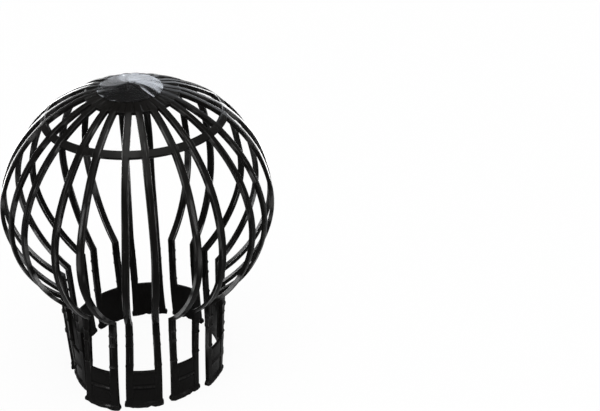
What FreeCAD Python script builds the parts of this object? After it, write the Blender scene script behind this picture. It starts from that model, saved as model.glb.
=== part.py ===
"""Balloon leaf guard for a downpipe outlet: one moulded cage with a clear film on its cap."""
import FreeCAD
import Part
import Sketcher
import math
import os

# Driving dimensions in millimetres; leg_count is a plain number and the two joints are angles
SIZES = (
    ("balloon_radius", "57"),
    ("equator_height", "80"),
    ("equator_arc_radius", "40"),
    ("dome_joint", "15.5 deg"),
    ("belly_joint", "19.5 deg"),
    ("dome_rise", "50.2"),
    ("cap_radius", "19.5"),
    ("cap_rise", "4.2"),
    ("cap_tip_radius", "1.5"),
    ("neck_radius", "36"),
    ("neck_height", "41.5"),
    ("foot_radius", "34.5"),
    ("wall", "1.7"),
    ("leg_count", "12"),
    ("leg_width", "14.5"),
    ("bar_width", "2.9"),
    ("pad_height", "18"),
    ("panel_recess", "0.35"),
    ("hoop_radius", "36.5"),
    ("hoop_band", "3.4"),
    ("hoop_proud", "0.15"),
    ("ridge_proud", "0.5"),
    ("ridge_base", "1.8"),
    ("pad_ridge", "9.6"),
    ("low_ridge", "21"),
    ("mid_ridge", "31.2"),
    ("top_ridge", "36.2"),
    ("lip_height", "1.6"),
    ("label_radius", "14"),
    ("label_thickness", "0.15"),
)

# Worked out from the driving dimensions; x is measured out from the axis in the rib's own plane
DERIVED = (
    ("cap_edge", "equator_height + dome_rise"),
    ("tip_height", "cap_edge + cap_rise"),
    ("bar_offset", "( leg_width - bar_width ) / 2"),
    ("rib_turn", "asin( bar_offset / balloon_radius )"),
    ("half_pad_turn", "asin( bar_offset / foot_radius )"),
    # Upper rib: the equator arc runs tangent into the dome arc, which ends at the cap's edge
    ("round_x", "balloon_radius - equator_arc_radius"),
    ("round_inner", "equator_arc_radius - wall"),
    ("reach_x", "balloon_radius - wall"),
    ("dome_joint_x", "round_x + equator_arc_radius * cos( dome_joint )"),
    ("dome_joint_z", "equator_height + equator_arc_radius * sin( dome_joint )"),
    ("dome_across", "dome_joint_x - cap_radius"),
    ("dome_up", "cap_edge - dome_joint_z"),
    ("dome_sink", "dome_across * cos( dome_joint ) - dome_up * sin( dome_joint )"),
    ("dome_arc_radius", "( dome_across ^ 2 + dome_up ^ 2 ) / ( 2 * dome_sink )"),
    ("dome_inner", "dome_arc_radius - wall"),
    ("dome_x", "dome_joint_x - dome_arc_radius * cos( dome_joint )"),
    ("dome_z", "dome_joint_z - dome_arc_radius * sin( dome_joint )"),
    ("dome_inner_joint_x", "round_x + round_inner * cos( dome_joint )"),
    ("dome_inner_joint_z", "equator_height + round_inner * sin( dome_joint )"),
    ("root_inner_x", "cap_radius - wall * ( cap_radius - dome_x ) / dome_arc_radius"),
    ("root_inner_z", "cap_edge - wall * ( cap_edge - dome_z ) / dome_arc_radius"),
    ("root_tongue_x", "cap_radius - wall"),
    ("root_tongue_z", "cap_edge - wall / 2"),
    # Lower bar: in a plane beside the leg's middle, from the same equator down to the foot
    ("bar_reach_x", "balloon_radius * cos( rib_turn )"),
    ("bar_inner_x", "bar_reach_x - wall"),
    ("bar_round_x", "bar_reach_x - equator_arc_radius"),
    ("belly_joint_x", "bar_round_x + equator_arc_radius * cos( belly_joint )"),
    ("belly_joint_z", "equator_height - equator_arc_radius * sin( belly_joint )"),
    ("bar_neck_x", "sqrt( neck_radius ^ 2 - bar_offset ^ 2 )"),
    ("bar_foot_x", "sqrt( foot_radius ^ 2 - bar_offset ^ 2 )"),
    ("belly_across", "belly_joint_x - bar_neck_x"),
    ("belly_up", "belly_joint_z - neck_height"),
    ("belly_sink", "belly_across * cos( belly_joint ) - belly_up * sin( belly_joint )"),
    ("belly_arc_radius", "( belly_across ^ 2 + belly_up ^ 2 ) / ( 2 * belly_sink )"),
    ("belly_inner", "belly_arc_radius - wall"),
    ("belly_x", "belly_joint_x - belly_arc_radius * cos( belly_joint )"),
    ("belly_z", "belly_joint_z + belly_arc_radius * sin( belly_joint )"),
    ("belly_inner_joint_x", "bar_round_x + round_inner * cos( belly_joint )"),
    ("belly_inner_joint_z", "equator_height - round_inner * sin( belly_joint )"),
    ("neck_inner_x", "bar_neck_x - wall"),
    ("neck_inner_z", "belly_z - sqrt( belly_inner ^ 2 - ( neck_inner_x - belly_x ) ^ 2 )"),
    ("foot_inner_x", "bar_foot_x - wall"),
)
RIDGES = ("pad_ridge", "low_ridge", "mid_ridge", "top_ridge")
FULL_TURN = 360.0

doc = FreeCAD.newDocument("leaf_guard_model")
sheet = doc.addObject("Spreadsheet::Sheet", "Sizes")
for row, (alias, value) in enumerate(SIZES + DERIVED, start=1):
    sheet.set(f"A{row}", alias)
    sheet.set(f"B{row}", f"={value}")
    sheet.setAlias(f"B{row}", alias)
doc.recompute()
ALIASES = {alias for alias, value in SIZES + DERIVED}


def size(alias):
    """A value of the sheet as a plain number, for the first guess of sketch geometry."""
    return float(sheet.get(alias)) if alias in ALIASES else float(alias)


def from_sheet(words):
    """Write the sheet's name before every alias in an expression."""
    return " ".join("Sizes." + part if part in ALIASES else part for part in words.split(" "))


def new_body(name):
    body = doc.addObject("PartDesign::Body", name)
    body.Label = name
    return body


def origin_feature(body, role):
    return next(item for item in body.Origin.OriginFeatures if item.Role == role)


def new_sketch(body, name):
    """A sketch on the upright plane through the middle of the first leg."""
    sketch = body.newObject("Sketcher::SketchObject", name)
    sketch.AttachmentSupport = [(origin_feature(body, "XZ_Plane"), "")]
    sketch.MapMode = "FlatFace"
    return sketch


def drive(sketch, constraint, words):
    """Add a dimension and bind it to an expression of the sheet's aliases."""
    index = sketch.addConstraint(constraint)
    sketch.setExpression(f"Constraints[{index}]", from_sheet(words))


def place_point(sketch, geometry, end, across, up):
    """Fix a point by its two distances from the sketch's origin."""
    here = sketch.getPoint(geometry, end)
    drive(sketch, Sketcher.Constraint("DistanceX", -1, 1, geometry, end, here.x), across)
    drive(sketch, Sketcher.Constraint("DistanceY", -1, 1, geometry, end, here.y), up)


def join(sketch, edges):
    """Close a ring of edges, each given as its number, its first end and its last end."""
    for (edge, first, last), (following, start, end) in zip(edges, edges[1:] + edges[:1]):
        sketch.addConstraint(Sketcher.Constraint("Coincident", edge, last, following, start))


def add_polygon(sketch, points):
    """A closed ring of straight lines whose corners are pairs of expressions."""
    count = len(points)
    middle = FreeCAD.Vector(size("neck_radius"), size("neck_height"), 0)
    angles = [2 * math.pi * step / count for step in range(count)]
    corners = [middle + FreeCAD.Vector(math.cos(angle), math.sin(angle), 0) for angle in angles]
    edges = []
    for start, end in zip(corners, corners[1:] + corners[:1]):
        edges.append((sketch.addGeometry(Part.LineSegment(start, end), False), 1, 2))
    join(sketch, edges)
    for (edge, first, last), (across, up) in zip(edges, points):
        place_point(sketch, edge, first, across, up)


def add_outline(sketch, corners):
    """A closed ring of lines and arcs. A corner is its two aliases and the arc that leaves it, or None.

    An arc is the aliases of its centre and radius, and whether it runs anticlockwise.
    """
    places = [FreeCAD.Vector(size(across), size(up), 0) for across, up, bend in corners]
    edges = []
    for place, following, (across, up, bend) in zip(places, places[1:] + places[:1], corners):
        if bend is None:
            edges.append((sketch.addGeometry(Part.LineSegment(place, following), False), 1, 2))
            continue
        centre = FreeCAD.Vector(size(bend[0]), size(bend[1]), 0)
        circle = Part.Circle(centre, FreeCAD.Vector(0, 0, 1), size(bend[2]))
        begin, stop = ((spot - centre) for spot in (place, following))
        angles = [math.atan2(arm.y, arm.x) for arm in (begin, stop)]
        anticlockwise = bend[3]
        arc = Part.ArcOfCircle(circle, *(angles if anticlockwise else reversed(angles)))
        ends = (1, 2) if anticlockwise else (2, 1)
        edges.append((sketch.addGeometry(arc, False), *ends))
    join(sketch, edges)
    for (edge, first, last), (across, up, bend) in zip(edges, corners):
        place_point(sketch, edge, first, across, up)
        if bend is not None:
            drive(sketch, Sketcher.Constraint("Radius", edge, size(bend[2])), bend[2])


def turn(body, name, sketch, half_angle=None):
    """Revolve a sketch about the upright axis, all the way or evenly to both sides."""
    feature = body.newObject("PartDesign::Revolution", name)
    feature.Profile = sketch
    feature.ReferenceAxis = (sketch, ["V_Axis"])
    feature.Angle = FULL_TURN
    if half_angle:
        feature.Midplane = True
        feature.setExpression("Angle", from_sheet(f"2 * {half_angle}"))
    doc.recompute()
    return feature


def extrude(body, name, sketch):
    """Give a flat rib profile its width, evenly to both sides."""
    feature = body.newObject("PartDesign::Pad", name)
    feature.Profile = sketch
    feature.Midplane = True
    feature.setExpression("Length", from_sheet("bar_width"))
    doc.recompute()
    return feature


def add_cap(body):
    """The shallow cone that closes the top, with a small flat tip."""
    sketch = new_sketch(body, "cap_profile")
    add_polygon(sketch, (
        ("0", "tip_height - wall"),
        ("cap_tip_radius", "tip_height - wall"),
        ("cap_radius", "cap_edge - wall"),
        ("cap_radius", "cap_edge"),
        ("cap_tip_radius", "tip_height"),
        ("0", "tip_height"),
    ))
    turn(body, "cap", sketch)


def add_upper_rib(body, side, sign):
    """A rib that runs straight out from the axis, seen from above: from inside the cap to the equator."""
    sketch = new_sketch(body, f"upper_rib_profile_{side}")
    upright = FreeCAD.Vector(0, 1, 0)
    sketch.AttachmentOffset = FreeCAD.Placement(FreeCAD.Vector(), FreeCAD.Rotation(upright, sign))
    sketch.setExpression("AttachmentOffset.Rotation.Angle", from_sheet(f"{sign} * rib_turn"))
    add_outline(sketch, (
        ("balloon_radius", "equator_height", ("round_x", "equator_height", "equator_arc_radius", True)),
        ("dome_joint_x", "dome_joint_z", ("dome_x", "dome_z", "dome_arc_radius", True)),
        ("cap_radius", "cap_edge", None),
        ("root_tongue_x", "root_tongue_z", None),
        ("root_inner_x", "root_inner_z", ("dome_x", "dome_z", "dome_inner", False)),
        ("dome_inner_joint_x", "dome_inner_joint_z", ("round_x", "equator_height", "round_inner", False)),
        ("reach_x", "equator_height", None),
    ))
    return extrude(body, f"upper_rib_{side}", sketch)


def add_lower_bar(body, side, sign):
    """The same rib below the equator, where the two of a pair run side by side down to the foot."""
    sketch = new_sketch(body, f"lower_bar_profile_{side}")
    sketch.setExpression("AttachmentOffset.Base.z", from_sheet(f"{-sign} * bar_offset"))
    add_outline(sketch, (
        ("bar_foot_x", "0", None),
        ("bar_neck_x", "neck_height", ("belly_x", "belly_z", "belly_arc_radius", True)),
        ("belly_joint_x", "belly_joint_z", ("bar_round_x", "equator_height", "equator_arc_radius", True)),
        ("bar_reach_x", "equator_height", None),
        ("bar_inner_x", "equator_height", ("bar_round_x", "equator_height", "round_inner", False)),
        ("belly_inner_joint_x", "belly_inner_joint_z", ("belly_x", "belly_z", "belly_inner", False)),
        ("neck_inner_x", "neck_inner_z", None),
        ("foot_inner_x", "0", None),
    ))
    return extrude(body, f"lower_bar_{side}", sketch)


def face_at(foot, neck, height):
    """Distance out to the plain leg at a height, between the foot and the neck."""
    return f"{foot} + ( {neck} - {foot} ) * {height} / neck_height"


def ridge_outline(foot, neck, ridge):
    """A low triangle on the outer face of the leg, rooted half way into the wall."""
    low = f"( {ridge} - ridge_base / 2 )"
    high = f"( {ridge} + ridge_base / 2 )"
    return (
        (f"{face_at(foot, neck, low)} - wall / 2", low),
        (face_at(foot, neck, low), low),
        (f"{face_at(foot, neck, ridge)} + ridge_proud", ridge),
        (face_at(foot, neck, high), high),
        (f"{face_at(foot, neck, high)} - wall / 2", high),
    )


def lip_outline(foot):
    """The low lip that turns outwards at the bottom of the leg."""
    return (
        (f"{foot} - wall / 2", "0"),
        (f"{foot} + ridge_proud", "0"),
        (f"{foot} + ridge_proud", "lip_height / 2"),
        (foot, "lip_height"),
        (f"{foot} - wall / 2", "lip_height"),
    )


def add_grips(body, side, sign):
    """The ridges and the lip across one bar."""
    sketch = new_sketch(body, f"grip_profile_{side}")
    sketch.setExpression("AttachmentOffset.Base.z", from_sheet(f"{-sign} * bar_offset"))
    for ridge in RIDGES:
        add_polygon(sketch, ridge_outline("bar_foot_x", "bar_neck_x", ridge))
    add_polygon(sketch, lip_outline("bar_foot_x"))
    return extrude(body, f"grips_{side}", sketch)


def add_foot_pad(body):
    """The curved plate that joins the two bars of a leg, set back a little behind their faces."""
    sketch = new_sketch(body, "pad_profile")
    add_polygon(sketch, (
        ("foot_radius - wall", "0"),
        ("foot_radius - panel_recess", "0"),
        (f"{face_at('foot_radius', 'neck_radius', 'pad_height')} - panel_recess", "pad_height"),
        (f"{face_at('foot_radius', 'neck_radius', 'pad_height')} - wall", "pad_height"),
    ))
    pad = turn(body, "foot_pad", sketch, "half_pad_turn")
    trim = new_sketch(body, "pad_trim_profiles")
    add_polygon(trim, ridge_outline("foot_radius", "neck_radius", "pad_ridge"))
    add_polygon(trim, lip_outline("foot_radius"))
    return [pad, turn(body, "pad_trim", trim, "half_pad_turn")]


def add_legs(body):
    """One pair of ribs with its leg, then copies of it all round."""
    features = []
    for side, sign in (("near", 1), ("far", -1)):
        features.append(add_upper_rib(body, side, sign))
        features.append(add_lower_bar(body, side, sign))
        features.append(add_grips(body, side, sign))
    features += add_foot_pad(body)
    pattern = body.newObject("PartDesign::PolarPattern", "round_the_cage")
    pattern.Originals = features
    pattern.Axis = (origin_feature(body, "Z_Axis"), [""])
    pattern.Angle = FULL_TURN
    pattern.setExpression("Occurrences", from_sheet("leg_count"))
    body.Tip = pattern
    doc.recompute()


def add_hoop(body):
    """The hoop that ties the ribs: a band square to the dome, rooted half way into the ribs."""
    lean = "asin( ( hoop_radius - dome_x ) / dome_arc_radius )"

    def corner(out, along):
        across = f"dome_x + ( dome_arc_radius + {out} ) * sin( {lean} ) + {along} * cos( {lean} )"
        up = f"dome_z + ( dome_arc_radius + {out} ) * cos( {lean} ) - {along} * sin( {lean} )"
        return across, up

    sketch = new_sketch(body, "hoop_profile")
    inside = "( 0 - wall / 2 )"
    upper = "( 0 - hoop_band / 2 )"
    lower = "hoop_band / 2"
    add_polygon(sketch, (
        corner(inside, lower),
        corner("hoop_proud", lower),
        corner("hoop_proud", upper),
        corner(inside, upper),
    ))
    turn(body, "hoop", sketch)


def build_guard():
    body = new_body("leaf_guard")
    add_cap(body)
    add_legs(body)
    add_hoop(body)
    return body


def build_label():
    """A thin clear film that follows the flat tip and the cone of the cap."""
    body = new_body("top_label")
    sketch = new_sketch(body, "film_profile")
    edge = "cap_edge + cap_rise * ( cap_radius - label_radius ) / ( cap_radius - cap_tip_radius )"
    add_polygon(sketch, (
        ("0", "tip_height"),
        ("cap_tip_radius", "tip_height"),
        ("label_radius", edge),
        ("label_radius", f"{edge} + label_thickness"),
        ("cap_tip_radius", "tip_height + label_thickness"),
        ("0", "tip_height + label_thickness"),
    ))
    turn(body, "film", sketch)
    return body


def check(bodies):
    """Stop before writing if any object failed, or a sub-part is empty or broken."""
    for item in doc.Objects:
        if any(word in ("Invalid", "Error") for word in item.State):
            raise RuntimeError(f"{item.Name} failed: {item.State}")
    for body in bodies:
        if body.Shape.isNull() or not body.Shape.isValid() or len(body.Shape.Solids) != 1:
            raise RuntimeError(f"{body.Label} is not one sound solid")


sub_parts = [build_guard(), build_label()]
doc.recompute()
check(sub_parts)
os.makedirs("parts", exist_ok=True)
for sub_part in sub_parts:
    sub_part.Shape.exportStep(f"parts/{sub_part.Label}.step")
    print(sub_part.Label, "volume", round(sub_part.Shape.Volume, 1), "box", sub_part.Shape.BoundBox)
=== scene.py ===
# %% [markdown]
# # A balloon leaf guard, dressed for its picture
#
# The guard is one moulding of black plastic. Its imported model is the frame: it says where every
# face is. This lesson models the same form again with soft edges, grips and the small faults of a
# real moulding, gives it a black plastic finish, lays a clear film on its cap, and lights it.

# %% Load the frame
import math

import bpy
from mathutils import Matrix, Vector


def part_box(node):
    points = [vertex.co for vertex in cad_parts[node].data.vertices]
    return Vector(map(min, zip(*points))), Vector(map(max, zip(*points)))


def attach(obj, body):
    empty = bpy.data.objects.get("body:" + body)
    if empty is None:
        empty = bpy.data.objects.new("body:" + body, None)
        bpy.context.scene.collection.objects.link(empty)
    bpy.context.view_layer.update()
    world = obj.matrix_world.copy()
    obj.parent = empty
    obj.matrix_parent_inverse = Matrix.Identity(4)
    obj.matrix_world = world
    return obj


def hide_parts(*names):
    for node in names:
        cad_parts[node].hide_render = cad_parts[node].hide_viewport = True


MM = 0.001
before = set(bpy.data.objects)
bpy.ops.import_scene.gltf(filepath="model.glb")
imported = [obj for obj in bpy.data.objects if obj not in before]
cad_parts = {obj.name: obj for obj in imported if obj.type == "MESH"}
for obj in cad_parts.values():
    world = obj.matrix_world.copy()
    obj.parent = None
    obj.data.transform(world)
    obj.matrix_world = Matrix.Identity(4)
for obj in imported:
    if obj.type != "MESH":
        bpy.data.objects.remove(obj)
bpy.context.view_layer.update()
guard_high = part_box("leaf_guard")[1]
film_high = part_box("top_label")[1]

# %% [markdown]
# ## The camera
#
# The camera comes first, because every later choice is judged through it. It stands about two thirds
# of a metre away and looks down on the guard. The guard keeps its place at the left of the picture,
# so the camera doesn't point at it: it only slides until the guard falls where it should.

# %% Place the camera
CAMERA_PLACE = Vector((12.43, -556.0, 377.85)) * MM
CAMERA_DOWN = math.radians(28.5)
CAMERA_TURN = math.radians(-5.72)
FOCAL_PIXELS = 1495.6
PICTURE_WIDTH = 600
SENSOR_WIDTH = 36.0
CLIP_START = 10 * MM

bpy.ops.object.select_all(action="DESELECT")
bpy.ops.object.camera_add(location=CAMERA_PLACE, rotation=(math.pi / 2 - CAMERA_DOWN, 0, CAMERA_TURN))
camera = bpy.context.object
camera.data.sensor_width = SENSOR_WIDTH
camera.data.lens = FOCAL_PIXELS * SENSOR_WIDTH / PICTURE_WIDTH
camera.data.clip_start = CLIP_START
bpy.context.scene.camera = camera
print("lens", round(camera.data.lens, 1), "mm")

# %% [markdown]
# ## The wall's line
#
# Seen from the side, the wall of the guard is one line: a flat tip, a cone, two arcs down the dome,
# two arcs down the belly, a sharp neck and a straight leg. All the sizes are the moulding's own, and
# the arcs follow from a few of them, because each arc runs smoothly into the next.

# %% Sizes of the moulding
BALLOON_RADIUS = 57.0 * MM
EQUATOR_HEIGHT = 80.0 * MM
EQUATOR_ARC = 40.0 * MM
DOME_JOINT = math.radians(15.5)
BELLY_JOINT = math.radians(19.5)
CAP_RADIUS = 19.5 * MM
CAP_EDGE = 130.2 * MM
CAP_TIP_RADIUS = 1.5 * MM
TIP_HEIGHT = guard_high.z
NECK_RADIUS = 36.0 * MM
NECK_HEIGHT = 41.5 * MM
FOOT_RADIUS = 34.5 * MM
WALL = 1.7 * MM
LEG_COUNT = 12
LEG_WIDTH = 14.5 * MM
BAR_WIDTH = 2.9 * MM
PAD_HEIGHT = 18.0 * MM
HOOP_RADIUS = 36.5 * MM
HOOP_BAND = 3.4 * MM


def tangent_arc(joint, out, end):
    """Centre and radius of the arc that leaves a joint square to a direction and passes through an end."""
    reach = joint - end
    radius = reach.length_squared / (2 * reach.dot(out))
    return joint - radius * out, radius


def arc_rows(centre, radius, start, stop, count):
    """Points along an arc, from one angle to another, without the last one."""
    steps = (start + (stop - start) * step / count for step in range(count))
    return [centre + radius * Vector((math.cos(angle), math.sin(angle))) for angle in steps]


def angle_of(centre, point):
    return math.atan2(point.y - centre.y, point.x - centre.x)


cap_edge = Vector((CAP_RADIUS, CAP_EDGE))
neck = Vector((NECK_RADIUS, NECK_HEIGHT))
round_centre = Vector((BALLOON_RADIUS - EQUATOR_ARC, EQUATOR_HEIGHT))
dome_out = Vector((math.cos(DOME_JOINT), math.sin(DOME_JOINT)))
belly_out = Vector((math.cos(BELLY_JOINT), -math.sin(BELLY_JOINT)))
dome_centre, dome_arc = tangent_arc(round_centre + EQUATOR_ARC * dome_out, dome_out, cap_edge)
belly_centre, belly_arc = tangent_arc(round_centre + EQUATOR_ARC * belly_out, belly_out, neck)
hoop_angle = math.acos((HOOP_RADIUS - dome_centre.x) / dome_arc)
hoop_half = HOOP_BAND / 2 / dome_arc
print("dome arc", round(dome_arc / MM, 2), "belly arc", round(belly_arc / MM, 2), "mm")

# %% [markdown]
# ## The flat blank
#
# The cage could be cut out of a hollow balloon, but every cut leaves ragged faces behind. A basket
# maker's way is cleaner: lay out one twelfth of the wall as a flat grid, take out the faces where the
# slots and gaps are, then bend the blank onto the wall's line. Each row of the grid is one height on
# that line, and each column is one edge or middle of a rib.
#
# The rows stand closer where the legs have their grips: small ridges across the bars, one ridge across
# each pad, and a bead round the foot.

# %% Rows of the blank
CAP_ROWS = (1.5, 4.0, 7.5, 11.0, 13.0, 15.0, 17.0, 18.5)
DOME_STEPS = (5, 15)
HOOP_STEPS = 2
EQUATOR_STEPS = 10
BELLY_STEPS = 15
RIDGE_HALF = 0.9 * MM
PAD_RIDGE = 10.4 * MM
BAR_RIDGES = (21.0 * MM, 31.2 * MM, 36.2 * MM)
BAR_ROWS = (39.5, 33.7, 27.5, 24.5)
PAD_ROWS = (16.4, 13.5, 6.5, 4.2)
LIP_ROWS = (2.9, 2.4, 1.8, 1.2, 0.6, 0.0)

rows = []


def add_rows(region, points):
    rows.extend((region, point) for point in points)


def cone_height(radius):
    share = (CAP_RADIUS - radius) / (CAP_RADIUS - CAP_TIP_RADIUS)
    return CAP_EDGE + (TIP_HEIGHT - CAP_EDGE) * min(share, 1.0)


def leg_points(heights):
    lean = (NECK_RADIUS - FOOT_RADIUS) / NECK_HEIGHT
    return [Vector((FOOT_RADIUS + lean * height, height)) for height in sorted(heights, reverse=True)]


def ridge_rows(*ridges):
    return [ridge + side * RIDGE_HALF for ridge in ridges for side in (-1, 0, 1)]


dome_start = angle_of(dome_centre, cap_edge)
belly_end = angle_of(belly_centre, neck)
add_rows("cap", [Vector((0.0, TIP_HEIGHT))])
add_rows("cap", [Vector((radius * MM, cone_height(radius * MM))) for radius in CAP_ROWS])
add_rows("rib", arc_rows(dome_centre, dome_arc, dome_start, hoop_angle + hoop_half, DOME_STEPS[0]))
add_rows("hoop", arc_rows(dome_centre, dome_arc, hoop_angle + hoop_half, hoop_angle - hoop_half, HOOP_STEPS))
add_rows("rib", arc_rows(dome_centre, dome_arc, hoop_angle - hoop_half, DOME_JOINT, DOME_STEPS[1]))
add_rows("rib", arc_rows(round_centre, EQUATOR_ARC, DOME_JOINT, -BELLY_JOINT, EQUATOR_STEPS))
add_rows("rib", arc_rows(belly_centre, belly_arc, -BELLY_JOINT, belly_end, BELLY_STEPS))
bar_heights = [NECK_HEIGHT, *ridge_rows(*BAR_RIDGES), *(row * MM for row in BAR_ROWS)]
pad_heights = [PAD_HEIGHT, *ridge_rows(PAD_RIDGE), *(row * MM for row in PAD_ROWS + LIP_ROWS)]
add_rows("bar", leg_points(bar_heights))
add_rows("pad", leg_points(pad_heights))
print(len(rows), "rows from the tip to the foot")

# %% [markdown]
# A column's place depends on its row. Below the equator the two bars of a leg run side by side. Above
# it each rib runs straight out from the axis, seen from above, so a pair closes up towards the cap.
# On the cap the columns keep the direction that they have at its edge and meet at the tip. A narrow
# column lies on each side of every rib: it becomes the small step from a rib down to what lies between.

# %% Columns of the blank
HALF_PITCH = math.pi / LEG_COUNT
BAR_OFFSET = (LEG_WIDTH - BAR_WIDTH) / 2
RIB_STEPS = 2
GAP_STEPS = 3
PANEL_STEPS = 3
STEP_WIDTH = 0.4 * MM
STEP_SHARE = 0.4
KINDS = ["gap"] * GAP_STEPS + ["rib"] * (RIB_STEPS + 1) + ["slot"] * (2 * PANEL_STEPS + 1)
KINDS += ["rib"] * (RIB_STEPS + 1) + ["gap"] * GAP_STEPS
CLOSED = {"cap": ("gap", "rib", "slot"), "hoop": ("gap", "rib", "slot"), "rib": ("rib",), "bar": ("rib",)}
CLOSED["pad"] = ("rib", "slot")


def side_places(point):
    """Azimuths of a row's columns, from the middle of one gap to the middle of the next."""
    radius = max(point.x, CAP_RADIUS)
    closing = 0.0
    if point.y > EQUATOR_HEIGHT:
        closing = (BALLOON_RADIUS - radius) * BAR_OFFSET / BALLOON_RADIUS
    outer = LEG_WIDTH / 2 - closing
    inner = outer - BAR_WIDTH
    floor_half = inner - min(STEP_WIDTH, STEP_SHARE * inner)
    half = [floor_half * step / PANEL_STEPS for step in range(PANEL_STEPS + 1)]
    half += [inner + BAR_WIDTH * step / RIB_STEPS for step in range(RIB_STEPS + 1)]
    azimuths = [math.asin(aside / radius) for aside in half]
    edge = azimuths[-1]
    brow = edge + min(STEP_WIDTH / radius, STEP_SHARE * (HALF_PITCH - edge))
    azimuths += [brow, (brow + HALF_PITCH) / 2, HALF_PITCH]
    return [-azimuth for azimuth in reversed(azimuths[1:])] + azimuths


def is_closed(row, column):
    """Whether the wall has a face below a row and right of a column."""
    beside = {KINDS[column], KINDS[column + 1]} - {"rib"} or {"rib"}
    return beside <= set(CLOSED[rows[row][0]])


places = [side_places(point) for region, point in rows]
print(len(KINDS), "columns, of which", KINDS.count("rib"), "lie on the two ribs")

# %% [markdown]
# The blank is a grid with one face for each row and column. Two numbers are kept on every point, its
# row and its column, so that the grips can be raised later without guessing which point is which.

# %% Cut and bend the blank
def pick_faces(piece, test):
    """Leaves a piece in edit mode with only the faces selected that pass a test, and counts them."""
    bpy.ops.object.mode_set(mode="EDIT")
    bpy.ops.mesh.select_mode(type="FACE")
    bpy.ops.mesh.select_all(action="DESELECT")
    bpy.ops.object.mode_set(mode="OBJECT")
    for face in piece.data.polygons:
        face.select = test(face)
    picked = sum(face.select for face in piece.data.polygons)
    bpy.ops.object.mode_set(mode="EDIT")
    return picked


def is_open(face):
    """Whether a face of the flat blank lies where the cage has a slot or a gap."""
    row = min(grid_rows[number] for number in face.vertices)
    column = min(grid_columns[number] for number in face.vertices)
    return not is_closed(row, column)


bpy.ops.object.select_all(action="DESELECT")
bpy.ops.mesh.primitive_grid_add(x_subdivisions=len(KINDS) - 1, y_subdivisions=len(rows) - 1, size=1.0)
guard = bpy.context.object
guard.name = "leaf_guard_moulding"
mesh = guard.data
grid_columns = [round((vertex.co.x + 0.5) * (len(KINDS) - 1)) for vertex in mesh.vertices]
grid_rows = [round((0.5 - vertex.co.y) * (len(rows) - 1)) for vertex in mesh.vertices]
mesh.attributes.new("row", "INT", "POINT").data.foreach_set("value", grid_rows)
mesh.attributes.new("column", "INT", "POINT").data.foreach_set("value", grid_columns)

pick_faces(guard, is_open)
bpy.ops.mesh.delete(type="FACE")
bpy.ops.object.mode_set(mode="OBJECT")
row_of = [item.value for item in mesh.attributes["row"].data]
column_of = [item.value for item in mesh.attributes["column"].data]
for vertex, row, column in zip(mesh.vertices, row_of, column_of):
    point = rows[row][1]
    azimuth = places[row][column]
    vertex.co = (point.x * math.cos(azimuth), point.x * math.sin(azimuth), point.y)
print("one twelfth", len(mesh.polygons), "faces")

# %% [markdown]
# ## Twelve legs, one wall
#
# Spin with copies sets the bent blank round the axis. Doubles are merged so that the cap and the hoop
# become closed rings, the faces are turned outwards, and Solidify gives the sheet its wall, inwards.

# %% Copy round and thicken
MERGE = 0.002 * MM
bpy.ops.object.mode_set(mode="EDIT")
bpy.ops.mesh.select_all(action="SELECT")
bpy.ops.mesh.spin(steps=LEG_COUNT, dupli=True, angle=2 * math.pi, center=(0, 0, 0), axis=(0, 0, 1))
bpy.ops.mesh.select_all(action="SELECT")
bpy.ops.mesh.remove_doubles(threshold=MERGE)
bpy.ops.mesh.delete_loose()
bpy.ops.mesh.select_all(action="SELECT")
bpy.ops.mesh.normals_make_consistent(inside=False)
bpy.ops.object.mode_set(mode="OBJECT")
outer_count = len(mesh.vertices)
up_faces = sum(face.normal.z > 0 for face in mesh.polygons if face.center.z > CAP_EDGE)
print("sheet", outer_count, "points", len(mesh.polygons), "faces,", up_faces, "cap faces look up")

wall = guard.modifiers.new("wall", "SOLIDIFY")
wall.thickness = WALL
wall.offset = -1.0
wall.use_even_offset = True
bpy.ops.object.modifier_apply(modifier=wall.name)
print("wall", len(mesh.vertices), "points", len(mesh.polygons), "faces")

# %% [markdown]
# ## Grips, steps and beads
#
# The outer skin of a real guard isn't smooth. The ribs are crowned, and their sides lean a little so that
# they leave the mould. The bars carry small ridges that bite into the pipe, the pad lies a little behind
# its two bars, a bead runs round the foot with a rough moulding seam, and shallow flutes run from the
# slots up the cap. Each could be a small solid joined to the wall, but joints leave seams in the mesh. The
# heights are worked out here as plain functions of a point's place instead, and the next step uses them.

# %% Heights of the relief
RIDGE_PROUD = 0.42 * MM
PAD_RIDGE_PROUD = 0.65 * MM
RIDGE_SIDE = 0.07 * MM
PANEL_RECESS = 0.35 * MM
LIP_MIDDLE = 1.1 * MM
LIP_HALF = 1.45 * MM
LIP_PROUD = 0.5 * MM
LIP_FLARE = 0.55 * MM
LIP_CORNER = 0.32 * MM
SEAM_LUMP = 1.0 * MM
SEAM_TOP = 2.9 * MM
LUMP_OUT = 0.5
LUMP_ASIDE = 0.6
LUMP_COUNTS = (41, 17, 83)
LUMP_STARTS = (0.6, 2.0)
FINE_LUMPS = 0.35
FLUTE_DEPTH = 0.8 * MM
FLUTE_START = 11.5 * MM
DRAFT_OUTER = 0.08 * MM
DRAFT_INNER = 0.16 * MM
RIB_CROWN = 0.15 * MM
LAST_COLUMN = len(KINDS) - 1
RIB_EDGES = {GAP_STEPS: -1, LAST_COLUMN - GAP_STEPS: 1}
BAR_INNER = {GAP_STEPS + RIB_STEPS: 1, LAST_COLUMN - GAP_STEPS - RIB_STEPS: -1}


def ridge_bump(height, ridges):
    return max(max(0.0, 1 - abs(height - ridge) / RIDGE_HALF) for ridge in ridges)


def bead(height):
    rise = (height - LIP_MIDDLE) / LIP_HALF
    return math.sqrt(max(0.0, 1 - rise * rise))


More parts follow.
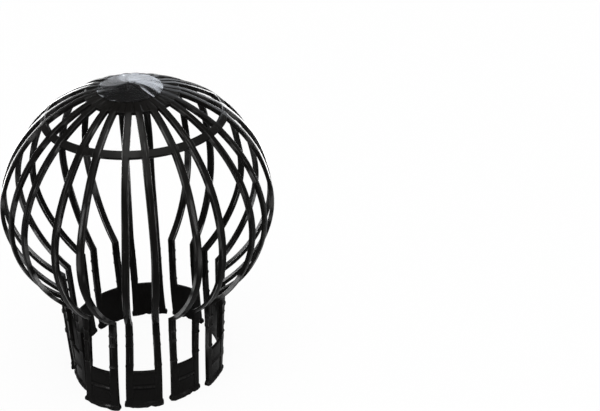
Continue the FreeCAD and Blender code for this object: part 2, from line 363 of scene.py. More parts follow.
def lumps(azimuth):
    """An uneven wave round the foot, between -1 and 1."""
    coarse, slow, fine = LUMP_COUNTS
    wave = math.sin(coarse * azimuth + LUMP_STARTS[0]) * math.sin(slow * azimuth + LUMP_STARTS[1])
    return (1 - FINE_LUMPS) * wave + FINE_LUMPS * math.sin(fine * azimuth)


def leg_relief(kind, height, azimuth):
    """How far the outer skin of a leg stands out."""
    out = LIP_PROUD * bead(height) * (1 + LUMP_OUT * lumps(azimuth))
    if kind == "slot":
        panel = PAD_RIDGE_PROUD * ridge_bump(height, [PAD_RIDGE]) - PANEL_RECESS
        return out + panel * (1 - bead(height))
    return out + RIDGE_PROUD * ridge_bump(height, BAR_RIDGES)


def leg_side(column, height, azimuth):
    """How far the edge of a bar or foot swells sideways."""
    swell = RIDGE_SIDE * ridge_bump(height, BAR_RIDGES)
    if column in RIB_EDGES:
        return RIB_EDGES[column] * (swell + LIP_FLARE * bead(height) * (1 + LUMP_ASIDE * lumps(azimuth)))
    return BAR_INNER.get(column, 0) * swell


print("ridges", RIDGE_PROUD / MM, "mm high, foot bead", round((LIP_MIDDLE + LIP_HALF) / MM, 2), "mm high")

# %% [markdown]
# Every point is now moved by its own small amount: sideways for the lean of a rib, outwards for a grip or
# a bead, upwards where the foot's seam is rough. Solidify keeps the sheet's own points first, so the outer
# skin is the first part of the list, and each point still knows its row and column.

# %% Raise the relief
def raised(place, row, column, is_outer):
    """Where a point of the plain wall lies once the relief is on it."""
    region, wall_point = rows[row]
    radius = math.hypot(place.x, place.y)
    azimuth = math.atan2(place.y, place.x)
    height = place.z
    edge_side = RIB_EDGES.get(column, 0 if region == "pad" else BAR_INNER.get(column, 0))
    if edge_side and region != "cap":
        azimuth += edge_side * (-DRAFT_OUTER if is_outer else DRAFT_INNER) / radius
        radius -= RIB_CROWN if is_outer and region == "rib" else 0.0
    if region in ("bar", "pad"):
        level = wall_point.y
        if is_outer:
            radius += leg_relief(KINDS[column], level, azimuth)
        azimuth += leg_side(column, level, azimuth) / radius
        lift = max(SEAM_LUMP * lumps(azimuth), LIP_CORNER if column in RIB_EDGES else 0.0)
        height += lift * max(0.0, 1 - level / SEAM_TOP)
    elif region == "cap" and is_outer and KINDS[column] != "rib":
        height -= FLUTE_DEPTH * max(0.0, (radius - FLUTE_START) / (CAP_RADIUS - FLUTE_START))
    return Vector((radius * math.cos(azimuth), radius * math.sin(azimuth), height))


row_of = [item.value for item in mesh.attributes["row"].data]
column_of = [item.value for item in mesh.attributes["column"].data]
for number, vertex in enumerate(mesh.vertices):
    vertex.co = raised(vertex.co, row_of[number], column_of[number], number < outer_count)
mesh.update()
print("outer skin reaches", round(max(vertex.co.x for vertex in mesh.vertices) / MM, 2), "mm")

# %% [markdown]
# ## The hoop
#
# One hoop ties the ribs together in the upper third. It lies almost level with them: it is only a little
# crowned, so where it crosses a rib the light shows a faint swelling and no step. An extruded band would
# show a hard edge there, so the rows that the hoop already has in the wall are lifted instead. On the
# inside the hoop is only half as deep as the ribs.

# %% Crown the hoop
HOOP_PROUD = 0.15 * MM
HOOP_EDGE_SHARE = 0.4
HOOP_REACH = 1.01
HOOP_MIDDLE = 0.5


def dome_place(place):
    """Angle and distance of a point on the dome, seen from the centre of the dome's arc."""
    out = Vector((math.hypot(place.x, place.y), place.z)) - dome_centre
    return math.atan2(out.y, out.x), out.length


def lifted(place, lift):
    """A point of the dome moved straight out from the dome's arc."""
    angle, distance = dome_place(place)
    line = dome_centre + (distance + lift) * Vector((math.cos(angle), math.sin(angle)))
    scale = line.x / math.hypot(place.x, place.y)
    return Vector((place.x * scale, place.y * scale, line.y))


hoop_points = 0
for number, vertex in enumerate(mesh.vertices):
    off_middle = abs(dome_place(vertex.co)[0] - hoop_angle) / hoop_half
    if off_middle < HOOP_REACH:
        hoop_points += 1
        if number < outer_count:
            vertex.co = lifted(vertex.co, HOOP_PROUD * (HOOP_EDGE_SHARE if off_middle > HOOP_MIDDLE else 1.0))
        elif KINDS[column_of[number]] != "rib":
            vertex.co = lifted(vertex.co, WALL / 2)
mesh.update()
print("hoop", hoop_points, "points, crowned by", HOOP_PROUD / MM, "mm")

# %% [markdown]
# ## Soft edges
#
# A mould's edges are never knife sharp, and the thin bright line along each rib comes partly from its rounded
# edge and partly from a painted highlight in the plastic's colour. Bevel rounds every edge that turns by more
# than half a right angle, so the small steps of the pads stay as they are. Weighted normals then keep the
# broad faces flat in the light.

# %% Round the edges
EDGE_ROUND = 0.28 * MM
EDGE_SEGMENTS = 3
EDGE_ANGLE = math.radians(52)
SMOOTH_ANGLE = math.radians(38)
bpy.ops.object.select_all(action="DESELECT")
guard.select_set(True)
bpy.context.view_layer.objects.active = guard
rounding = guard.modifiers.new("rounding", "BEVEL")
rounding.width = EDGE_ROUND
rounding.segments = EDGE_SEGMENTS
rounding.limit_method = "ANGLE"
rounding.angle_limit = EDGE_ANGLE
rounding.use_clamp_overlap = False
bpy.ops.object.modifier_apply(modifier=rounding.name)
bpy.ops.object.shade_smooth_by_angle(angle=SMOOTH_ANGLE)
flats = guard.modifiers.new("flats", "WEIGHTED_NORMAL")
flats.keep_sharp = True
bpy.ops.object.modifier_apply(modifier=flats.name)
triangles = sum(len(face.vertices) - 2 for face in mesh.polygons)
print("rounded moulding", len(mesh.vertices), "points", triangles, "triangles")

# %% [markdown]
# ## A measure along the ribs
#
# The marks on the plastic run along each rib, and Object coordinates can't follow a rib that curves. So
# every point of the even cage gets attributes of its own: how far it lies from its rib's middle line, how
# far along the rib, a number for that rib, and whether it is on the outer side of a leg. The finish reads
# them. The numbers of two ribs lie far apart, so that each rib gets marks of its own.

# %% Measure along and across the ribs
LEG_STRIDE = 7.0
RIB_STRIDE = 3.0


def rib_flow(place):
    """Millimetres across a rib, millimetres along it, and a number for the rib."""
    radius = math.hypot(place.x, place.y)
    azimuth = math.atan2(place.y, place.x)
    leg = round(azimuth / (2 * HALF_PITCH))
    aside = radius * math.sin(azimuth - leg * 2 * HALF_PITCH)
    middle = BAR_OFFSET
    if place.z > EQUATOR_HEIGHT:
        middle *= radius / BALLOON_RADIUS
    along = place.z + (BALLOON_RADIUS - radius if place.z > EQUATOR_HEIGHT else 0.0)
    return (abs(aside) - middle) / MM, along / MM, LEG_STRIDE * leg + (RIB_STRIDE if aside > 0 else 0.0)


def is_outside(place):
    """Whether a point of a leg lies on the outer half of its wall."""
    return math.hypot(place.x, place.y) > leg_points([place.z])[0].x - WALL / 2


mesh.attributes.new("rib_flow", "FLOAT_VECTOR", "POINT")
mesh.attributes.new("outside", "FLOAT", "POINT")
flow_data = mesh.attributes["rib_flow"].data
side_data = mesh.attributes["outside"].data
for flow_item, side_item, vertex in zip(flow_data, side_data, mesh.vertices):
    flow_item.vector = rib_flow(vertex.co)
    side_item.value = float(is_outside(vertex.co))
print("flow measured at", len(flow_data), "points")

# %% [markdown]
# ## The bend of this one
#
# Such a guard leaves its mould a little twisted, and its spring legs never stand in a perfect ring. The
# whole cage turns by a few degrees from foot to cap, and the ring of feet is slightly oval: the front and
# back legs stand out, the side legs stand in. Five legs on the near side were bent a little more, each by
# its own amount outwards and round the ring, and the dome is fuller at its right back. Lattices could do
# this, but a formula on each point is easier to set. The feet stay on the floor.

# %% Twist the cage and spread the legs
CAGE_TWIST = math.radians(3.65)
LEGS_BELOW = 60.0 * MM
LEG_SPLAY = 0.7 * MM
LEG_OVAL = 2.5 * MM
OVAL_AXIS = math.radians(76.4)
LEG_SHIFT = 1.5 * MM
SHIFT_AXIS = math.radians(80.0)
TWIST_CENTRE = 0.5
RIB_SWAY = 0.22 * MM
SWAY_WAVES = 5
SWAY_LENGTH = 9 * MM
FEET_BELOW = 3 * MM
DOME_FULL = 2.0 * MM
FULL_AXIS = math.radians(45.0)
FULL_FROM = 88.0 * MM
FULL_RISE = 20.0 * MM
FULL_FALL = 12.0 * MM
# Millimetres outwards and round the ring at the foot, for each bent leg. Leg 0 faces +X.
LEG_BENT = {-1: (1.9, 0.0), -2: (-0.8, 0.0), -3: (0.0, -0.5), -4: (3.2, 0.9), -5: (-1.2, 0.0)}


def eased(share):
    """A share held between 0 and 1, with a soft start and end."""
    share = min(1.0, max(0.0, share))
    return share * share * (3 - 2 * share)


def settled(place):
    """Where a point of the even cage lies on this one."""
    radius = math.hypot(place.x, place.y)
    azimuth = math.atan2(place.y, place.x)
    depth = max(0.0, 1 - place.z / LEGS_BELOW)
    share = depth ** 2
    out, around = LEG_BENT.get(round(azimuth / (2 * HALF_PITCH)), (0.0, 0.0))
    spread = (LEG_SPLAY + LEG_OVAL * math.cos(2 * (azimuth - OVAL_AXIS))) * share + out * MM * depth
    shoulder = eased((place.z - FULL_FROM) / FULL_RISE) * eased((CAP_EDGE - place.z) / FULL_FALL)
    spread += DOME_FULL * shoulder * max(0.0, math.cos(azimuth - FULL_AXIS)) ** 2
    sway = RIB_SWAY * math.sin(SWAY_WAVES * azimuth + place.z / SWAY_LENGTH) * min(1.0, radius / NECK_RADIUS)
    sway += around * MM * depth
    azimuth += CAGE_TWIST * (place.z / TIP_HEIGHT - TWIST_CENTRE) + sway / max(radius, CAP_RADIUS)
    shift = LEG_SHIFT * share
    return Vector(((radius + spread) * math.cos(azimuth) + shift * math.cos(SHIFT_AXIS),
                   (radius + spread) * math.sin(azimuth) + shift * math.sin(SHIFT_AXIS), place.z))


for vertex in mesh.vertices:
    vertex.co = settled(vertex.co)
mesh.update()
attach(guard, "root")
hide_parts("leaf_guard")
front = max(-vertex.co.y for vertex in mesh.vertices if vertex.co.z < FEET_BELOW)
print("front legs reach", round(front / MM, 1), "mm")

# %% [markdown]
# ## The film on the cap
#
# A round clear film is stuck on the cone. It could be a disc with a bump in its material, but its rim and
# folds show against the light, so they are modelled. A ring of edges is extruded inwards ring by ring and
# closed at the tip, which gives the film enough points to fold.

# %% Cut the film
FILM_RADIUS = 13.3 * MM
FILM_ASIDE = FILM_RADIUS - film_high.x
FILM_POINTS = 120
FILM_RINGS = (12.9, 12.2, 11.2, 9.9, 8.5, 7.0, 5.4, 3.8, 2.4, 1.2)
bpy.ops.object.select_all(action="DESELECT")
bpy.ops.mesh.primitive_circle_add(vertices=FILM_POINTS, radius=FILM_RADIUS, location=(0, 0, 0))
film = bpy.context.object
film.name = "clear_cap_film"
bpy.ops.object.mode_set(mode="EDIT")
bpy.ops.mesh.select_mode(type="EDGE")
bpy.ops.mesh.select_all(action="SELECT")
last_radius = FILM_RADIUS
for ring in FILM_RINGS:
    bpy.ops.mesh.extrude_region_move()
    bpy.ops.transform.resize(value=(ring * MM / last_radius, ring * MM / last_radius, 1))
    last_radius = ring * MM
bpy.ops.mesh.extrude_region_move()
bpy.ops.mesh.merge(type="CENTER")
bpy.ops.mesh.select_all(action="SELECT")
bpy.ops.mesh.normals_make_consistent(inside=False)
bpy.ops.object.mode_set(mode="OBJECT")
print("flat film", len(film.data.vertices), "points")

# %% [markdown]
# The film was pressed on by hand, so it lies in soft folds that catch the light. One sharp crease runs out
# to the rim at the front right, the rim curls up a little at the left, and the back has come away from
# the cone. Each is a small height above the cone, worked out from a point's distance and direction.

# %% Folds of the film
FILM_FOLD = 0.22 * MM
FILM_PEEL = 0.8 * MM
FILM_CURL = 0.16 * MM
FAN_WAVES = (5, 3)
FAN_START = 1.2
FAN_TURN = 4.0
FAN_SHARE = 0.45
RIPPLE_WAVES = 13
RIPPLE_TURN = 9.0
RIPPLE_SHARE = 0.35
CURL_WIDTH = 1.1 * MM
CURL_TURN = math.radians(205)
CREASE_HEIGHT = 0.22 * MM
CREASE_HALF = 0.7 * MM
CREASE_TURN = math.radians(-47)
CREASE_START = 4.0 * MM


def film_fold(radius, azimuth):
    """Height of the film's folds above the cone, from 0 to about 1."""
    reach = radius / FILM_RADIUS
    fan = math.sin(FAN_WAVES[0] * azimuth + FAN_START) * math.sin(FAN_WAVES[1] * azimuth + FAN_TURN * reach)
    ripple = math.sin(RIPPLE_WAVES * azimuth + RIPPLE_TURN * reach) * RIPPLE_SHARE
    return reach * (1 - FAN_SHARE + FAN_SHARE * fan + ripple * reach)


def film_crease(radius, azimuth):
    """One sharp crease that runs out to the rim, from 0 to 1."""
    aside = radius * math.sin(azimuth - CREASE_TURN) / CREASE_HALF
    begun = min(1.0, max(0.0, (radius - CREASE_START) / CREASE_START))
    return begun * math.exp(-aside * aside) if math.cos(azimuth - CREASE_TURN) > 0 else 0.0


def film_curl(radius, azimuth):
    """How far the rim of the film curls up on one side, from 0 to 1."""
    near_rim = max(0.0, 1 - (FILM_RADIUS - radius) / CURL_WIDTH)
    return near_rim ** 2 * max(0.0, math.cos(azimuth - CURL_TURN))


def film_peel(radius, azimuth):
    """How far the back of the film has come away from the cone, from 0 to 1."""
    return max(0.0, math.sin(azimuth)) * (radius / FILM_RADIUS) ** 2


def film_height(radius, azimuth):
    """How far the film lies above the cone."""
    away = FILM_FOLD * max(0.0, film_fold(radius, azimuth)) + FILM_PEEL * film_peel(radius, azimuth)
    return away + CREASE_HEIGHT * film_crease(radius, azimuth) + FILM_CURL * film_curl(radius, azimuth)


print("film lifts to", round(film_height(FILM_RADIUS, math.pi / 2) / MM, 2), "mm at its back")

# %% [markdown]
# The film is laid on the cone a little to one side, as it was stuck there by eye. Solidify then gives it a
# thin wall, so that light is bent on its way in and out as in a real film.

# %% Lay the film
FILM_WALL = 0.1 * MM
for vertex in film.data.vertices:
    away = film_height(math.hypot(vertex.co.x, vertex.co.y), math.atan2(vertex.co.y, vertex.co.x))
    vertex.co.x += FILM_ASIDE
    vertex.co.z = cone_height(math.hypot(vertex.co.x, vertex.co.y)) + away
bpy.context.view_layer.objects.active = film
layer = film.modifiers.new("layer", "SOLIDIFY")
layer.thickness = FILM_WALL
layer.offset = 1.0
bpy.ops.object.modifier_apply(modifier=layer.name)
bpy.ops.object.shade_smooth_by_angle(angle=SMOOTH_ANGLE)
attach(film, "root")
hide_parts("top_label")
film_top = max(vertex.co.z for vertex in film.data.vertices)
print("film", len(film.data.polygons), "faces, top", round(film_top / MM, 2), "mm")

# %% [markdown]
# ## Shader maths
#
# A finish is a small sum: a base value plus a little of this noise and a little of that one. Written as
# nodes, such a sum is hard to read, so one small class wraps a node's socket and lets Python's own signs
# add the Math nodes. Two of its methods make soft masks: a rise from 0 to 1, and a stretch with a soft
# start and a soft end.

# %% A socket that can be added and multiplied
class Reading:
    """A value inside a shader."""

    def __init__(self, tree, socket=None):
        self.tree = tree
        self.socket = socket

    def node(self, kind, settings=None, sockets=None, output=0):
        """Adds a node: its settings first, then its sockets' values or links."""
        made = self.tree.nodes.new("ShaderNode" + kind)
        for name, setting in (settings or {}).items():
            setattr(made, name, setting)
        for name, value in (sockets or {}).items():
            if isinstance(value, Reading):
                self.tree.links.new(value.socket, made.inputs[name])
            else:
                made.inputs[name].default_value = value
        return Reading(self.tree, made.outputs[output] if made.outputs else None)

    def maths(self, operation, *values):
        return self.node("Math", {"operation": operation}, dict(enumerate(values)))

    def __add__(self, other):
        return self.maths("ADD", self, other)

    __radd__ = __add__

    def __sub__(self, other):
        return self.maths("SUBTRACT", self, other)

    def __rsub__(self, other):
        return self.maths("SUBTRACT", other, self)

    def __mul__(self, other):
        return self.maths("MULTIPLY", self, other)

    __rmul__ = __mul__

    def away_from(self, value):
        """How far this value lies from another one, on either side."""
        return self.maths("ABSOLUTE", self - value)

    def spread(self, low, high):
        """A smooth rise from 0 at one value to 1 at another."""
        sockets = {"Value": self, "From Min": low, "From Max": high}
        return self.node("MapRange", {"interpolation_type": "SMOOTHSTEP"}, sockets)

    def between(self, begin, full, fade, end):
        """A stretch that rises from 0 to 1 and falls back to 0."""
        return self.spread(begin, full) * (1 - self.spread(fade, end))

    def mix(self, first, second):
        """Goes from one colour to another as this value rises from 0 to 1."""
        return self.node("Mix", {"data_type": "RGBA"}, {0: self, 6: first, 7: second}, output=2)


def new_tree(holder):
    """Empties a material's or a world's nodes and gives a reading to start from."""
    holder.use_nodes = True
    holder.node_tree.nodes.clear()
    return Reading(holder.node_tree)


def noise(start, place, scale, detail=2.0):
    return start.node("TexNoise", {}, {"Vector": place, "Scale": scale, "Detail": detail})


print("shader maths ready")

# %% [markdown]
# ## Black moulded plastic
#
# The plastic is a deep, slightly warm black. Its sheen isn't even: the melt flowed along the ribs and left
# streaks. Noise on plain coordinates gives the patches and the grain. The streaks are noise on the measure
# along the ribs, drawn out lengthways, so they follow every curve of the cage.

# %% Patches, streaks and grain
PATCH_SCALE = 90.0
GRAIN_SCALE = 2600.0
STREAK_DRAW = (1.3, 0.045, 1.0)
BREAK_DRAW = (0.5, 0.07, 1.0)
plastic = bpy.data.materials.new("black_moulded_plastic")
start = new_tree(plastic)
place = start.node("TexCoord", output="Object")
flow = start.node("Attribute", {"attribute_name": "rib_flow"}, output="Vector")
outside = start.node("Attribute", {"attribute_name": "outside"}, output="Fac")
along = start.node("SeparateXYZ", {}, {"Vector": flow}, output="Y")
off_line = start.node("SeparateXYZ", {}, {"Vector": flow}, output="X").away_from(0.0)
patches = noise(start, place, PATCH_SCALE)
streaks = noise(start, start.node("Mapping", {}, {"Vector": flow, "Scale": STREAK_DRAW}), 1.0, 3.0)
breaks = noise(start, start.node("Mapping", {}, {"Vector": flow, "Scale": BREAK_DRAW}), 1.0)
grain = noise(start, place, GRAIN_SCALE, 3.0)
print("plastic starts with", len(plastic.node_tree.nodes), "nodes")

# %% [markdown]
# Wear sits where a hand or a box rubs. A painted highlight runs along the rib edges as a thin grey line that
# breaks off and starts again, and a brighter painted highlight lies along the edges of the lower belly. Light
# streaks along the ribs are partly scuffs and partly painted sheen. The ridge on each pad gets a painted
# highlight on its crest and painted shade on each side of it, and the rim of the foot is rubbed a little
# lighter. Each of
# these is a mask: a stretch along the rib, in millimetres from the foot, times a stretch across it, in
# millimetres from its middle line.

# %% Masks of the wear
RIB_ACROSS = (1.45, 1.7)
RIB_ALONG = (14.0, 22.0, 154.0, 164.0)
EDGE_HIGHLIGHT_ACROSS = (0.95, 1.3)
LINE_ACROSS = (1.15, 1.28, 1.38, 1.46)
BELLY_ALONG = (41.0, 47.0, 62.0, 78.0)
PANEL_ACROSS = (1.2, 1.7)
CREST_HIGHLIGHT_HALF = (0.15, 0.7)
RIDGE_SHADE_ASIDE = (0.7, 1.0, 1.2, 1.6)
RIM_ALONG = (0.3, 0.9, 1.3, 2.0)
EDGE_HIGHLIGHT_BREAKS = (0.5, 0.68)
LINE_BREAKS = (0.46, 0.58)
CREST_AND_RIM_BREAKS = (0.3, 0.6)
# Light streaks along the ribs: partly scuffs, partly painted sheen.
SCUFF_AND_SHEEN_STREAKS = (0.56, 0.74)
CREST_HIGHLIGHT = 0.14
RIM_RUB = 0.1
STREAK_SCUFF_AND_SHEEN = 0.55
on_rib = (1 - off_line.spread(*RIB_ACROSS)) * along.between(*RIB_ALONG)
# Painted highlight: a thin grey line along the rib edges, breaking off and starting again.
edge = off_line.spread(*EDGE_HIGHLIGHT_ACROSS) * breaks.spread(*EDGE_HIGHLIGHT_BREAKS)
# Painted highlight: a bright line along the rib edges of the lower belly, standing in for the floor's
# reflection there.
belly_edge_highlight = along.between(*BELLY_ALONG) * off_line.between(*LINE_ACROSS) * breaks.spread(*LINE_BREAKS)
from_ridge = along.away_from(PAD_RIDGE / MM)
on_panel = off_line.spread(*PANEL_ACROSS) * outside
# Painted highlight: a lighter line along the crest of each pad ridge, where its top would catch the light.
crest_highlight = (1 - from_ridge.spread(*CREST_HIGHLIGHT_HALF)) * on_panel
# Painted shade: a dark band on each side of the pad ridge, where shade falls beside it.
ridge_shade = from_ridge.between(*RIDGE_SHADE_ASIDE) * on_panel
rim = along.between(*RIM_ALONG) * outside
# The crest's lighter line is a painted highlight; the rim of the foot is rubbed lighter by wear.
crest_highlight_and_rim_wear = (CREST_HIGHLIGHT * crest_highlight + RIM_RUB * rim) * streaks.spread(*CREST_AND_RIM_BREAKS)
# The grey coat holds painted highlights on rib edges and ridge crests, scuff and sheen streaks, and rim wear.
scuff_and_highlight = on_rib * (edge + STREAK_SCUFF_AND_SHEEN * streaks.spread(*SCUFF_AND_SHEEN_STREAKS)) + crest_highlight_and_rim_wear
print("masks made,", len(plastic.node_tree.nodes), "nodes so far")

# %% [markdown]
# The colours go on as a painter's coats do, each through its own mask: the black, painted light that lifts
# the pads a shade, painted shade beside the pad ridges, scuffs with painted highlights, the painted
# highlights on the belly edges and last a few specks of dust.

# %% Colours of the plastic
BLACK = (0.0084, 0.0079, 0.0074, 1)
PALER_BLACK = (0.011, 0.0105, 0.0099, 1)
PAINTED_PAD_LIGHT = (0.0135, 0.013, 0.0126, 1)
RIDGE_SHADE_BLACK = (0.001, 0.001, 0.001, 1)
SCUFF_AND_HIGHLIGHT_GREY = (0.17, 0.168, 0.166, 1)
BELLY_HIGHLIGHT_GREY = (0.6, 0.6, 0.6, 1)
DUST_GREY = (0.16, 0.155, 0.15, 1)
DUST_SCALE = 1500.0
DUST_SPECKS = (0.76, 0.82)
DUST_PATCHES = (0.5, 0.62)
BLACK_PATCHES = (0.35, 0.65)
PAD_ALONG = (15.0, 19.0)
RIDGE_SHADE_STRENGTH = 0.6
SCUFF_AND_HIGHLIGHT_STRENGTH = 0.6
BELLY_HIGHLIGHT_STRENGTH = 0.7
DUST_STRENGTH = 0.35
on_pad = outside * (1 - along.spread(*PAD_ALONG))
dust = noise(start, place, DUST_SCALE, 1.0).spread(*DUST_SPECKS) * patches.spread(*DUST_PATCHES)
black = patches.spread(*BLACK_PATCHES).mix(BLACK, PALER_BLACK)
# Painted light: the pads are painted a shade lighter, standing in for light falling on them.
black = on_pad.mix(black, PAINTED_PAD_LIGHT)
# Painted shade beside the pad ridges.
shaded = (RIDGE_SHADE_STRENGTH * ridge_shade).mix(black, RIDGE_SHADE_BLACK)
# Painted highlights and scuffs, in grey.
worn_and_highlighted = (SCUFF_AND_HIGHLIGHT_STRENGTH * scuff_and_highlight).mix(shaded, SCUFF_AND_HIGHLIGHT_GREY)
# Painted highlight along the belly edges.
worn_and_highlighted = (BELLY_HIGHLIGHT_STRENGTH * belly_edge_highlight).mix(worn_and_highlighted, BELLY_HIGHLIGHT_GREY)
colour = (DUST_STRENGTH * dust).mix(worn_and_highlighted, DUST_GREY)
print("colours made,", len(plastic.node_tree.nodes), "nodes so far")

# %% [markdown]
# The sheen comes last. It is a little rougher on the patches and streaks, and the sides of the hoop are
# quite dull. The plastic reflects little, so its specular level is low and the faces keep their black.

# %% Sheen of the plastic
SMOOTHEST = 0.11
SPECULAR = 0.05
PATCH_ROUGH = 0.1
STREAK_ROUGH = 0.1
HOOP_ROUGH = 0.7
SHEEN_PATCHES = (0.3, 0.7)
GRAIN_DEPTH = 0.05 * MM
GRAIN_STRENGTH = 0.12
STREAK_HEIGHT = 1.5
HOOP_ACROSS = (1.4, 1.8)
HOOP_ALONG = (134.0, 135.5, 141.5, 143.0)
HOOP_SIDES = (14 * MM, 30 * MM)
sideways = start.node("SeparateXYZ", {}, {"Vector": place}, output="X").away_from(0.0)
on_hoop = off_line.spread(*HOOP_ACROSS) * along.between(*HOOP_ALONG)
hoop_dull = on_hoop * sideways.spread(*HOOP_SIDES)
roughness = SMOOTHEST + PATCH_ROUGH * patches.spread(*SHEEN_PATCHES) + STREAK_ROUGH * streaks
roughness = roughness + HOOP_ROUGH * hoop_dull
relief = grain + STREAK_HEIGHT * streaks
bump = start.node("Bump", {}, {"Strength": GRAIN_STRENGTH, "Distance": GRAIN_DEPTH, "Height": relief})
shader = start.node("BsdfPrincipled", {}, {"Base Color": colour, "Roughness": roughness, "Normal": bump,
                                           "Specular IOR Level": SPECULAR})
start.node("OutputMaterial", {}, {"Surface": shader})
guard.data.materials.append(plastic)
print("plastic", len(plastic.node_tree.nodes), "nodes")

# %% [markdown]
# ## Clear film
#
# The film is glossy and clear, with smears where fingers pressed it down. A pale mix with a part of it cut
# out by alpha would look milky. A transmitting shader lets the black cap show through and lays the shine on
# top, as the real film does.

# %% Film
FILM_TINT = (0.86, 0.88, 0.92, 1)
FILM_IOR = 1.5
FILM_SMOOTHEST = 0.04
SMEAR_ROUGH = 0.12
SMEAR_SCALE = 110.0
SMEAR_EDGE = (0.42, 0.66)
DENT_STRENGTH = 0.3
DENT_SCALE = 130.0
DENT_DEPTH = 0.12 * MM
clear = bpy.data.materials.new("clear_film")
start = new_tree(clear)
place = start.node("TexCoord", output="Object")
smears = noise(start, place, SMEAR_SCALE)
dents = noise(start, place, DENT_SCALE, 1.0)
roughness = FILM_SMOOTHEST + SMEAR_ROUGH * smears.spread(*SMEAR_EDGE)
bump = start.node("Bump", {}, {"Strength": DENT_STRENGTH, "Distance": DENT_DEPTH, "Height": dents})
shader = start.node("BsdfPrincipled", {}, {"Base Color": FILM_TINT, "Roughness": roughness, "Normal": bump,
                                           "Transmission Weight": 1.0, "IOR": FILM_IOR})
start.node("OutputMaterial", {}, {"Surface": shader})
film.data.materials.append(clear)
print("film", len(clear.node_tree.nodes), "nodes")

# %% [markdown]
# ## Floor and light
#
# The guard stands on a white sheet. A bright lamp could make the sheet white, but it would grey the black
# guard too. So the sheet glows, and only for what the camera sees directly or through the film. A small
# share of its own shading is kept, so that the guard's soft shadow stays on it. Shiny faces see a tenth of
# the glow, and to all other light the sheet is grey, which keeps the undersides of the ribs dark.

# %% Floor
SHEET_LIFT = 0.94
SHINE_LIFT = 0.1
SHEET_WIDTH = 8.0
SHEET_GREY = (0.4, 0.4, 0.4, 1)
SHEET_WHITE = (0.95, 0.95, 0.95, 1)
bpy.ops.object.select_all(action="DESELECT")
bpy.ops.mesh.primitive_plane_add(size=SHEET_WIDTH, location=(0, 0, 0))
floor = bpy.context.object
floor.name = "floor"
white = bpy.data.materials.new("white_sheet")
start = new_tree(white)
seen = start.node("LightPath", output="Is Camera Ray") * SHEET_LIFT
shone = start.node("LightPath", output="Is Glossy Ray") * SHINE_LIFT
through = start.node("LightPath", output="Is Transmission Ray") * SHEET_LIFT
lift = seen.maths("MAXIMUM", seen, shone.maths("MAXIMUM", shone, through))
tone = seen.mix(SHEET_GREY, SHEET_WHITE)
paper = start.node("BsdfDiffuse", {}, {"Color": tone})
glow = start.node("Emission", {}, {"Color": (1, 1, 1, 1), "Strength": 1.0})
sheet = start.node("MixShader", {}, {0: lift, 1: paper, 2: glow})
start.node("OutputMaterial", {}, {"Surface": sheet})
floor.data.materials.append(white)
print("floor", floor.dimensions.x, "m wide")

# %% [markdown]
# The world stands for the room. A bright, low band behind the guard, higher and brighter at the right,
# shows in the film. A bright box overhead lights the dome, and the dark rest of the room leaves the near
# ribs black. A picture of a real room could do this too, but three soft masks are easier to move.

# %% World
BAND_TOP = math.sin(math.radians(31))
BAND_FULL = math.sin(math.radians(22))
BAND_LEAN = 0.4
BAND_GLOW = 1.25
BAND_BACK = (0.58, 0.88)
BAND_SIDES = (0.4, 0.7, 0.55)
BAND_TINT = (0.9, 0.94, 1, 1)
MIDDLE_RISE = (-0.14, -0.02)
RIGHT_RISE = (0.04, 0.18)
WHITE = (1, 1, 1, 1)
CEILING_EDGE = math.sin(math.radians(58))
CEILING_FULL = math.sin(math.radians(72))
CEILING_LEAN = 0.25
CEILING_GLOW = 3.2
ROOM_GLOW = 0.06
world = bpy.data.worlds.new("studio")
start = new_tree(world)
bpy.context.scene.world = world
direction = start.node("TexCoord", output="Generated")
right = start.node("SeparateXYZ", {}, {"Vector": direction}, output="X")
back = start.node("SeparateXYZ", {}, {"Vector": direction}, output="Y")
rise = start.node("SeparateXYZ", {}, {"Vector": direction}, output="Z")
side = BAND_SIDES[0] + BAND_SIDES[1] * right.spread(*MIDDLE_RISE) + BAND_SIDES[2] * right.spread(*RIGHT_RISE)
band = (rise - BAND_LEAN * right).spread(BAND_TOP, BAND_FULL) * back.spread(*BAND_BACK) * side
ceiling = (rise - CEILING_LEAN * back).spread(CEILING_EDGE, CEILING_FULL)
level = ROOM_GLOW + BAND_GLOW * band + CEILING_GLOW * ceiling
seen = start.node("LightPath", output="Is Camera Ray")
level = seen + (1 - seen) * level
tint = (band * (1 - seen)).mix(WHITE, BAND_TINT)
sky = start.node("Background", {}, {"Color": tint, "Strength": level})
start.node("OutputWorld", {}, {"Surface": sky})
print("world", len(world.node_tree.nodes), "nodes")

# %% [markdown]
# A photographer hangs white cards where a glossy black thing will mirror them, because black plastic shows
# little but its reflections. Each card here is an area lamp that only shiny faces see. Two low strips at the
# back graze the far ribs and draw light streaks along them, with a gap between them so that the film isn't
# flooded. Two upright cards stand at the front left and right, two lie on the floor, and one hangs
# overhead for the front of the dome.

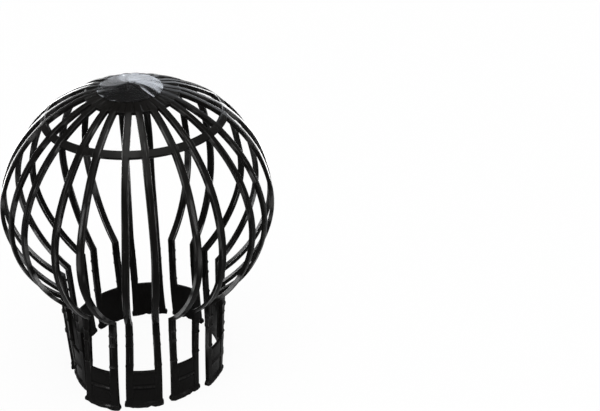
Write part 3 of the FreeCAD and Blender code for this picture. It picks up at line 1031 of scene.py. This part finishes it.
# %% Cards
STRIPS = {"size": (0.16, 0.19), "glow": 8.0}
STRIP_PLACES = (Vector((-0.13, 0.26, 0.065)), Vector((0.16, 0.26, 0.065)))
STRIP_FACING = (math.radians(-135), 0, 0)
UPRIGHTS = {"size": (0.12, 0.26), "glow": 28.0}
UPRIGHT_PLACES = (Vector((-0.467, -0.431, 0.227)), Vector((0.449, -0.448, 0.235)))
UPRIGHT_AIM = Vector((0, 0, 0.096))
FLOOR_CARDS = {"size": (0.06, 0.3), "glow": 8.0}
FLOOR_PLACES = (Vector((-0.22, -0.212, 0.003)), Vector((0.216, -0.216, 0.003)))
TOP_CARD = {"size": (0.14, 0.5), "glow": 4.2}
TOP_PLACE = Vector((-0.04, -0.05, 0.63))
FACING_DOWN = (0, 0, 0)


def add_card(card_place, facing, size, glow):
    """A white card that only shows as a shine."""
    bpy.ops.object.light_add(type="AREA", location=card_place, rotation=facing)
    card = bpy.context.object
    card.data.shape = "RECTANGLE"
    card.data.size, card.data.size_y = size
    card.data.energy = glow * math.pi * size[0] * size[1]
    card.visible_camera = False
    card.visible_diffuse = False


add_card(TOP_PLACE, FACING_DOWN, **TOP_CARD)
for card_place in STRIP_PLACES:
    add_card(card_place, STRIP_FACING, **STRIPS)
for card_place in UPRIGHT_PLACES:
    add_card(card_place, (UPRIGHT_AIM - card_place).to_track_quat("-Z", "Y").to_euler(), **UPRIGHTS)
for card_place in FLOOR_PLACES:
    turn = math.atan2(card_place.y, card_place.x) - math.pi / 2
    add_card(card_place, (math.pi, 0, turn), **FLOOR_CARDS)
print(len(bpy.data.lights), "cards")

# %% [markdown]
# One broad, weak lamp from overhead gives the floor its shadow and the plastic its own colour. It is hidden
# from shiny faces, which already see the room. The view transform is Standard, so that a colour comes out
# about as it is written.

# %% Overhead lamp
SUN_POWER = 0.5
SUN_WIDTH = math.radians(70)
SUN_TURN = (math.radians(8), math.radians(6), 0)
bpy.ops.object.light_add(type="SUN", rotation=SUN_TURN)
sun = bpy.context.object
sun.data.energy = SUN_POWER
sun.data.angle = SUN_WIDTH
sun.visible_glossy = False
bpy.context.scene.view_settings.view_transform = "Standard"
print("overhead lamp", round(sun.data.energy, 2), "W/m2")
